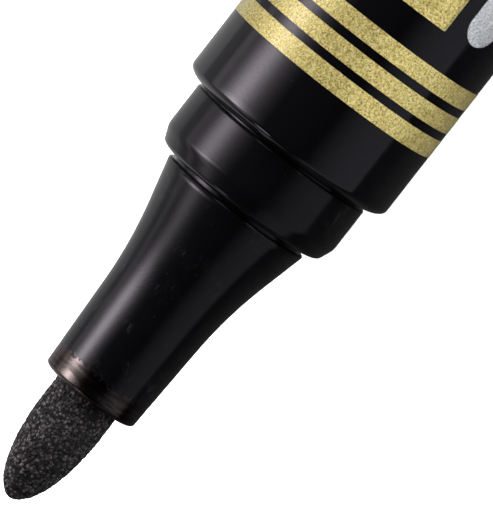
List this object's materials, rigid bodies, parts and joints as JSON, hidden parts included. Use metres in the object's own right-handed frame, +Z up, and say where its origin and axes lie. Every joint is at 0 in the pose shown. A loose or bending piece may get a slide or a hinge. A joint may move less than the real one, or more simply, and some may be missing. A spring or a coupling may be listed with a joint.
{
  "type": "marker pen",
  "caption": "Bullet-tip felt marker lying on its side: lacquered metal barrel, stepped plastic collar, flared nose, felt nib, and a clip cap pushed onto the tail post.",
  "frame": {"origin": "on the table under the marker's axis, midway between the writing tip and the cap's closed end", "axes": "+X along the marker's axis toward the writing tip, +Z up from the table, +Y by the right-hand rule"},
  "size_m": [0.16, 0.0178, 0.017],
  "materials": {
    "black_lacquer": "gloss",
    "black_plastic": "satin",
    "grey_rubber": "satin",
    "inked_felt": "matte",
    "inked_wadding": "matte",
    "clear_film": "satin",
    "natural_polythene": "satin",
    "gold_print": "satin",
    "silver_print": "satin"
  },
  "bodies": {
    "barrel": {"barrel_tube": "black_lacquer", "front_gasket": "grey_rubber", "collar": "black_plastic", "nose_cone": "black_plastic", "nib": "inked_felt", "reservoir_core": "inked_wadding", "reservoir_film": "clear_film", "rear_spacer": "natural_polythene", "tail_gasket": "grey_rubber", "tail_plug": "black_plastic"},
    "cap_liner": {"cap_inner": "natural_polythene"},
    "cap": {"cap_shell": "black_plastic", "clip_plug": "black_plastic"}
  },
  "joints": [
    {"name": "cap_pull", "type": "slide", "parent": "barrel", "child": "cap_liner", "axis": [-1, 0, 0], "range_m": [0, 0.03]},
    {"name": "cap_turn", "type": "hinge", "parent": "cap_liner", "child": "cap", "pos_m": [-0.07, 0, 0.0085], "axis": [1, 0, 0], "continuous": true}
  ]
}
